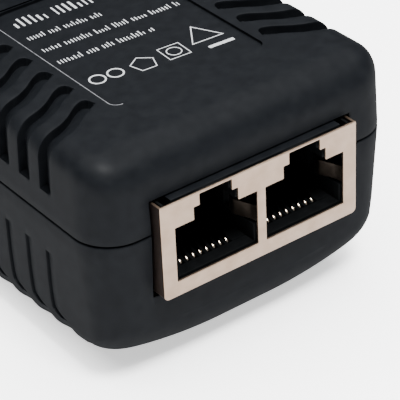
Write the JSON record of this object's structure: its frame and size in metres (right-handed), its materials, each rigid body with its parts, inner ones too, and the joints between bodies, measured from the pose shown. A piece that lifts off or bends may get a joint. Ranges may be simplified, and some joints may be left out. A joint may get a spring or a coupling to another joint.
{
  "type": "poe injector",
  "caption": "Wall-plug power-over-ethernet adapter: black two-part case with grip grooves, shielded double network jack, flat two-pin plug stem.",
  "frame": {"origin": "centre of the bounding box's underside, where the crowned cover rests", "axes": "+Y from the port face to the back, +Z from the cover to the plug pins"},
  "size_m": [0.0454, 0.0874, 0.0692],
  "materials": {
    "case_plastic": "fine moulded satin texture",
    "jack_plastic": "satin",
    "nickel": "satin nickel plate",
    "gold_contact": "gold flash over phosphor bronze",
    "steel": "bright nickel plate",
    "copper_wire": "enamelled copper winding",
    "board_green": "solder mask",
    "ferrite": "sintered ferrite",
    "winding_tape": "polyester tape over copper",
    "film_box": "moulded box",
    "capacitor_sleeve": "shrink sleeve",
    "ceramic_blue": "dipped coating",
    "chip_black": "moulded epoxy",
    "aluminium": "mill finish",
    "lead_insulation": "wire insulation"
  },
  "bodies": {
    "case": {"ac_lead_left": "lead_insulation", "ac_lead_right": "lead_insulation", "bridge_rectifier": "chip_black", "circuit_board": "board_green", "common_mode_choke": "copper_wire", "fuse": "steel", "heat_sink": "aluminium", "input_capacitor": "capacitor_sleeve", "jack_housing": "jack_plastic", "jack_shield": "nickel", "lower_case": "case_plastic", "optocoupler": "chip_black", "output_capacitor": "capacitor_sleeve", "output_choke": "copper_wire", "output_diode": "chip_black", "pin_sleeve_left": "jack_plastic", "pin_sleeve_right": "jack_plastic", "plug_pin_left": "steel", "plug_pin_right": "steel", "plug_stem": "case_plastic", "switching_transistor": "chip_black", "transformer_bobbin": "chip_black", "transformer_core": "ferrite", "transformer_winding": "winding_tape", "upper_case": "case_plastic", "x_capacitor": "film_box", "y_capacitor": "ceramic_blue"},
    "left_contacts": {"left_contact_1": "gold_contact", "left_contact_2": "gold_contact", "left_contact_3": "gold_contact", "left_contact_4": "gold_contact", "left_contact_5": "gold_contact", "left_contact_6": "gold_contact", "left_contact_7": "gold_contact", "left_contact_8": "gold_contact"},
    "left_finger_1": {"left_port_finger_1": "nickel"},
    "left_finger_2": {"left_port_finger_2": "nickel"},
    "right_contacts": {"right_contact_1": "gold_contact", "right_contact_2": "gold_contact", "right_contact_3": "gold_contact", "right_contact_4": "gold_contact", "right_contact_5": "gold_contact", "right_contact_6": "gold_contact", "right_contact_7": "gold_contact", "right_contact_8": "gold_contact"},
    "right_finger_1": {"right_port_finger_1": "nickel"},
    "right_finger_2": {"right_port_finger_2": "nickel"}
  },
  "joints": [
    {"name": "left_contact_flex", "type": "hinge", "parent": "case", "child": "left_contacts", "pos_m": [-0.0068, -0.0407, 0.0148], "axis": [-1, 0, 0], "range_deg": [0, 11], "stiffness_Nm_per_rad": 0.02},
    {"name": "left_finger_1_flex", "type": "hinge", "parent": "case", "child": "left_finger_1", "pos_m": [-0.0131, -0.0432, 0.019], "axis": [0, 0, 1], "range_deg": [0, 9], "stiffness_Nm_per_rad": 0.02},
    {"name": "left_finger_2_flex", "type": "hinge", "parent": "case", "child": "left_finger_2", "pos_m": [-0.0005, -0.0432, 0.019], "axis": [0, 0, -1], "range_deg": [0, 9], "stiffness_Nm_per_rad": 0.02},
    {"name": "right_contact_flex", "type": "hinge", "parent": "case", "child": "right_contacts", "pos_m": [0.0068, -0.0407, 0.0148], "axis": [-1, 0, 0], "range_deg": [0, 11], "stiffness_Nm_per_rad": 0.02},
    {"name": "right_finger_1_flex", "type": "hinge", "parent": "case", "child": "right_finger_1", "pos_m": [0.0005, -0.0432, 0.019], "axis": [0, 0, 1], "range_deg": [0, 9], "stiffness_Nm_per_rad": 0.02},
    {"name": "right_finger_2_flex", "type": "hinge", "parent": "case", "child": "right_finger_2", "pos_m": [0.0131, -0.0432, 0.019], "axis": [0, 0, -1], "range_deg": [0, 9], "stiffness_Nm_per_rad": 0.02}
  ]
}
